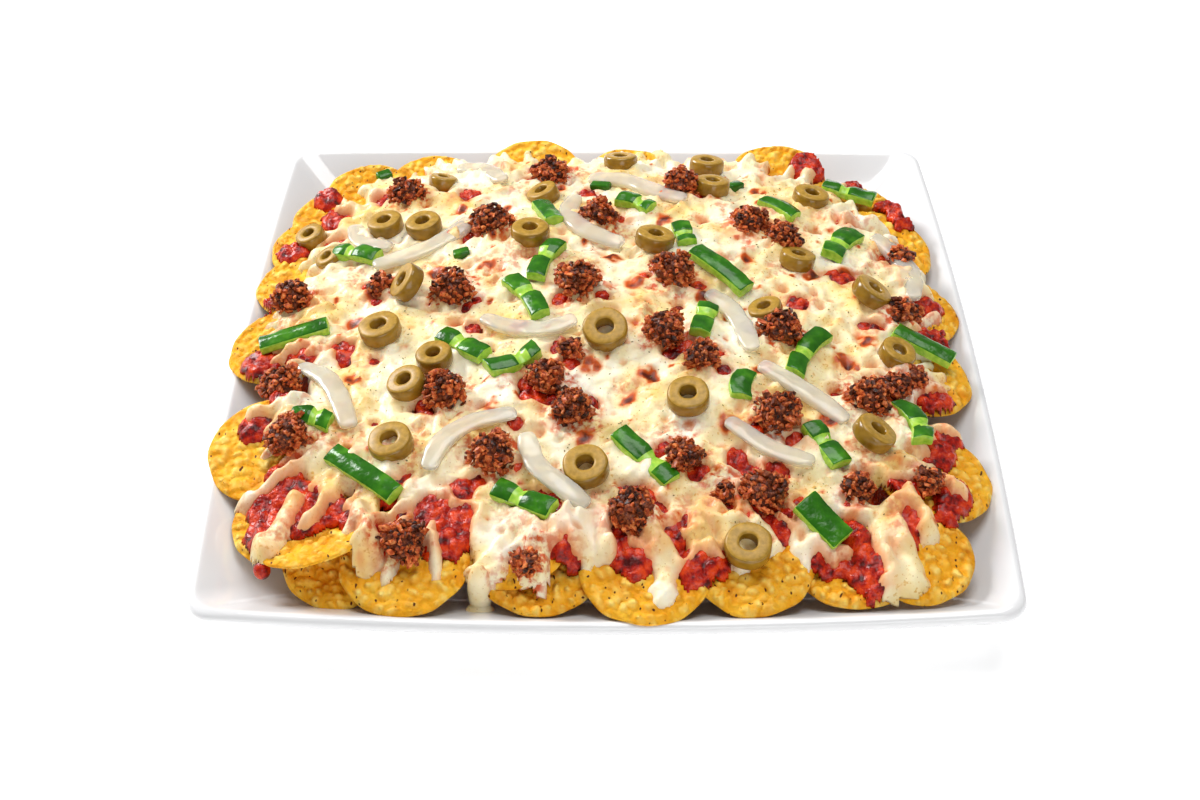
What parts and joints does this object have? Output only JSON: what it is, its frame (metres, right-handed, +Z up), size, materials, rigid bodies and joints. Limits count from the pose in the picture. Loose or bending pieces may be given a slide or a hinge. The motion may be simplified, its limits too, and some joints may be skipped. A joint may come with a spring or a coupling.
{
  "type": "nachos on a square platter",
  "caption": "Loaded round tortilla chips with melted cheese, browned beef, salsa, sliced olives, green pepper and onion, heaped on a square white platter with a flared rim.",
  "frame": {"origin": "centre of the platter's footprint, on the surface that it stands on", "axes": "+X to the diner's right, +Y away from the diner along the platter's depth, +Z up"},
  "size_m": [0.306, 0.3046, 0.0622],
  "materials": {
    "porcelain": "smooth glossy white glaze",
    "tortilla": "baked corn chip, blistered and slightly oily, with dark specks; stands for food",
    "salsa": "wet cooked tomato, lumpy and glossy; stands for food",
    "cheese": "melted cheese, soft sheen, with browned spots and herb flecks; stands for food",
    "beef": "browned ground beef, coarse granules with a greasy sheen; stands for food",
    "olive": "sliced pitted olive, matt cut face and glossy skin; stands for food",
    "pepper": "cut green pepper, glossy dark skin and pale green flesh; stands for food",
    "onion": "softened white onion, translucent and wet; stands for food"
  },
  "bodies": {
    "root": {"platter": "porcelain", "chips_and_salsa": "tortilla", "cheese_and_beef": "cheese", "olive_01": "olive", "olive_02": "olive", "olive_03": "olive", "olive_04": "olive", "olive_05": "olive", "olive_06": "olive", "olive_07": "olive", "olive_08": "olive", "olive_09": "olive", "olive_10": "olive", "olive_11": "olive", "olive_12": "olive", "olive_13": "olive", "olive_14": "olive", "olive_15": "olive", "olive_16": "olive", "olive_17": "olive", "olive_18": "olive", "olive_19": "olive", "olive_20": "olive", "pepper_01": "pepper", "pepper_02": "pepper", "pepper_03": "pepper", "pepper_04": "pepper", "pepper_05": "pepper", "pepper_06": "pepper", "pepper_07": "pepper", "pepper_08": "pepper", "pepper_09": "pepper", "pepper_10": "pepper", "pepper_11": "pepper", "pepper_12": "pepper", "pepper_13": "pepper", "pepper_14": "pepper", "pepper_15": "pepper", "pepper_16": "pepper", "pepper_17": "pepper", "pepper_18": "pepper", "pepper_19": "pepper", "pepper_20": "pepper", "pepper_21": "pepper", "pepper_22": "pepper", "pepper_23": "pepper", "pepper_24": "pepper", "onion_01": "onion", "onion_02": "onion", "onion_03": "onion", "onion_04": "onion", "onion_05": "onion", "onion_06": "onion", "onion_07": "onion", "onion_08": "onion", "onion_09": "onion", "onion_10": "onion", "onion_11": "onion", "onion_12": "onion", "onion_13": "onion"}
  },
  "joints": []
}
